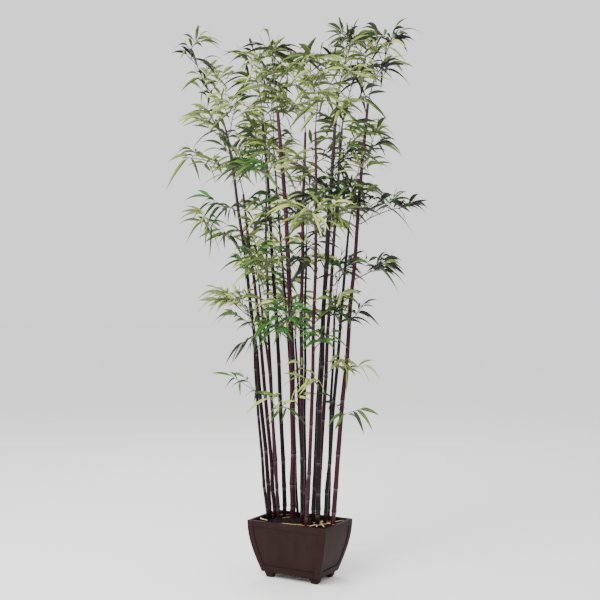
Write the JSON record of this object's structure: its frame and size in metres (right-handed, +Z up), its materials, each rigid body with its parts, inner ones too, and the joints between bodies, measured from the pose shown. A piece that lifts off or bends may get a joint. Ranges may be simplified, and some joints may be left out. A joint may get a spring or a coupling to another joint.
{
  "type": "artificial bamboo plant in a wooden planter",
  "caption": "Artificial black bamboo: slim dark canes lean out of a tapered, framed wooden planter on short feet and carry sprays of narrow, drooping green leaves.",
  "frame": {"origin": "on the floor under the middle of the planter, which is the middle of the whole plant's bounding box to within a few millimetres", "axes": "+Z up along the canes, +X along the planter's long side, +Y across it towards the back"},
  "size_m": [0.9011, 0.7091, 2.0811],
  "materials": {
    "stained_wood": "satin",
    "dark_soil": "matte",
    "black_cane": "satin",
    "maroon_cane": "satin",
    "leaf_green": "matte"
  },
  "bodies": {
    "root": {"planter": "stained_wood", "planter_foot_front_left": "stained_wood", "planter_foot_front_right": "stained_wood", "planter_foot_back_left": "stained_wood", "planter_foot_back_right": "stained_wood", "soil": "dark_soil", "cane_01": "black_cane", "cane_02": "black_cane", "cane_03": "maroon_cane", "cane_04": "maroon_cane", "cane_05": "black_cane", "cane_06": "black_cane", "cane_07": "maroon_cane", "cane_08": "black_cane", "cane_09": "black_cane", "cane_10": "maroon_cane", "cane_11": "black_cane", "cane_12": "maroon_cane", "cane_13": "black_cane", "cane_14": "black_cane", "cane_15": "maroon_cane", "cane_16": "black_cane", "cane_17": "black_cane", "cane_18": "maroon_cane", "side_spray_01": "leaf_green", "side_spray_02": "leaf_green", "side_spray_03": "leaf_green", "side_spray_04": "leaf_green", "side_spray_05": "leaf_green", "side_spray_06": "leaf_green", "side_spray_07": "leaf_green", "side_spray_08": "leaf_green", "side_spray_09": "leaf_green", "side_spray_10": "leaf_green", "side_spray_11": "leaf_green", "side_spray_12": "leaf_green", "side_spray_13": "leaf_green", "side_spray_14": "leaf_green", "side_spray_15": "leaf_green", "side_spray_16": "leaf_green", "side_spray_17": "leaf_green", "side_spray_18": "leaf_green", "tip_spray_01": "leaf_green", "tip_spray_02": "leaf_green", "tip_spray_03": "leaf_green", "tip_spray_04": "leaf_green", "tip_spray_05": "leaf_green", "tip_spray_06": "leaf_green", "tip_spray_07": "leaf_green", "tip_spray_08": "leaf_green", "tip_spray_09": "leaf_green", "tip_spray_10": "leaf_green", "tip_spray_11": "leaf_green", "tip_spray_12": "leaf_green", "tip_spray_13": "leaf_green", "tip_spray_14": "leaf_green", "tip_spray_15": "leaf_green", "tip_spray_16": "leaf_green", "tip_spray_17": "leaf_green", "tip_spray_18": "leaf_green"}
  },
  "joints": []
}
